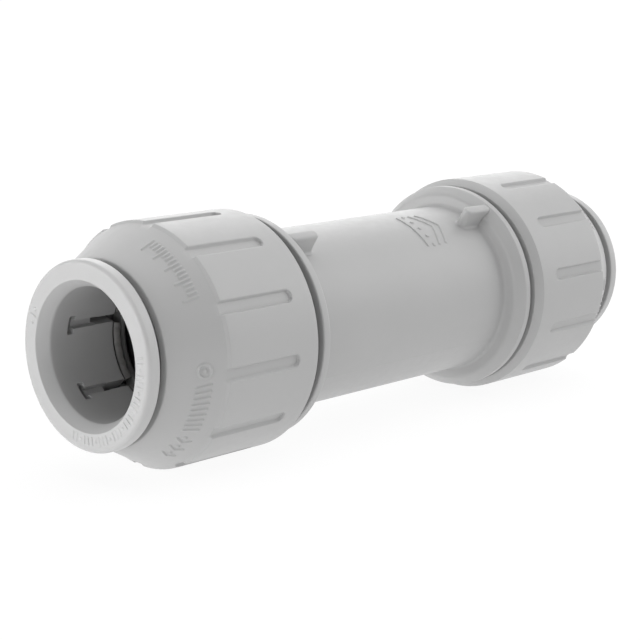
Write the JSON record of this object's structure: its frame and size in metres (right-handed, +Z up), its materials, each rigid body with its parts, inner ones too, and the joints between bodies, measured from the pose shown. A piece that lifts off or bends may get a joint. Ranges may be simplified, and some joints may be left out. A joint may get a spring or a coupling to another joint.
{
  "type": "push fit coupling",
  "caption": "Straight plastic push fit coupling for 22 mm pipe: tubular body, screw cap and release collet at each end, rubber seals and steel grip teeth inside.",
  "frame": {"origin": "centre of the coupling: on the pipe axis, half way between the two collet faces", "axes": "+X along the pipe axis towards the slip end, +Z up, the ribs under the flanges between +Z and -Y"},
  "size_m": [0.1298, 0.042, 0.042],
  "materials": {
    "grey_plastic": "satin moulded, fine grain",
    "collet_plastic": "satin moulded",
    "spacer_plastic": "matte moulded",
    "seal_rubber": "smooth moulded rubber",
    "tooth_steel": "dull pressed steel strip"
  },
  "bodies": {
    "fitting_body": {"coupling_body": "grey_plastic", "stop_o_ring": "seal_rubber", "slip_o_ring": "seal_rubber"},
    "stop_washer": {"stop_spacer": "spacer_plastic"},
    "stop_screw_cap": {"stop_cap": "grey_plastic"},
    "stop_release_collet": {"stop_collet": "collet_plastic", "stop_tooth_1": "tooth_steel", "stop_tooth_2": "tooth_steel", "stop_tooth_3": "tooth_steel", "stop_tooth_4": "tooth_steel", "stop_tooth_5": "tooth_steel", "stop_tooth_6": "tooth_steel"},
    "slip_washer": {"slip_spacer": "spacer_plastic"},
    "slip_screw_cap": {"slip_cap": "grey_plastic"},
    "slip_release_collet": {"slip_collet": "collet_plastic", "slip_tooth_1": "tooth_steel", "slip_tooth_2": "tooth_steel", "slip_tooth_3": "tooth_steel", "slip_tooth_4": "tooth_steel", "slip_tooth_5": "tooth_steel", "slip_tooth_6": "tooth_steel"}
  },
  "joints": [
    {"name": "stop_cap_advance", "type": "slide", "parent": "fitting_body", "child": "stop_washer", "axis": [1, 0, 0], "range_m": [0, 0.0009]},
    {"name": "stop_cap_twist", "type": "hinge", "parent": "stop_washer", "child": "stop_screw_cap", "pos_m": [-0.045, 0, 0], "axis": [1, 0, 0], "range_deg": [0, 90]},
    {"name": "stop_collet_release", "type": "slide", "parent": "stop_washer", "child": "stop_release_collet", "axis": [1, 0, 0], "range_m": [0, 0.0012]},
    {"name": "slip_cap_advance", "type": "slide", "parent": "fitting_body", "child": "slip_washer", "axis": [-1, 0, 0], "range_m": [0, 0.0009]},
    {"name": "slip_cap_twist", "type": "hinge", "parent": "slip_washer", "child": "slip_screw_cap", "pos_m": [0.045, 0, 0], "axis": [-1, 0, 0], "range_deg": [0, 90]},
    {"name": "slip_collet_release", "type": "slide", "parent": "slip_washer", "child": "slip_release_collet", "axis": [-1, 0, 0], "range_m": [0, 0.0012]}
  ],
  "couplings": [
    {"joint": "stop_cap_twist", "follows": "stop_cap_advance", "rad_per_m": 1745},
    {"joint": "slip_cap_twist", "follows": "slip_cap_advance", "rad_per_m": 1745}
  ]
}
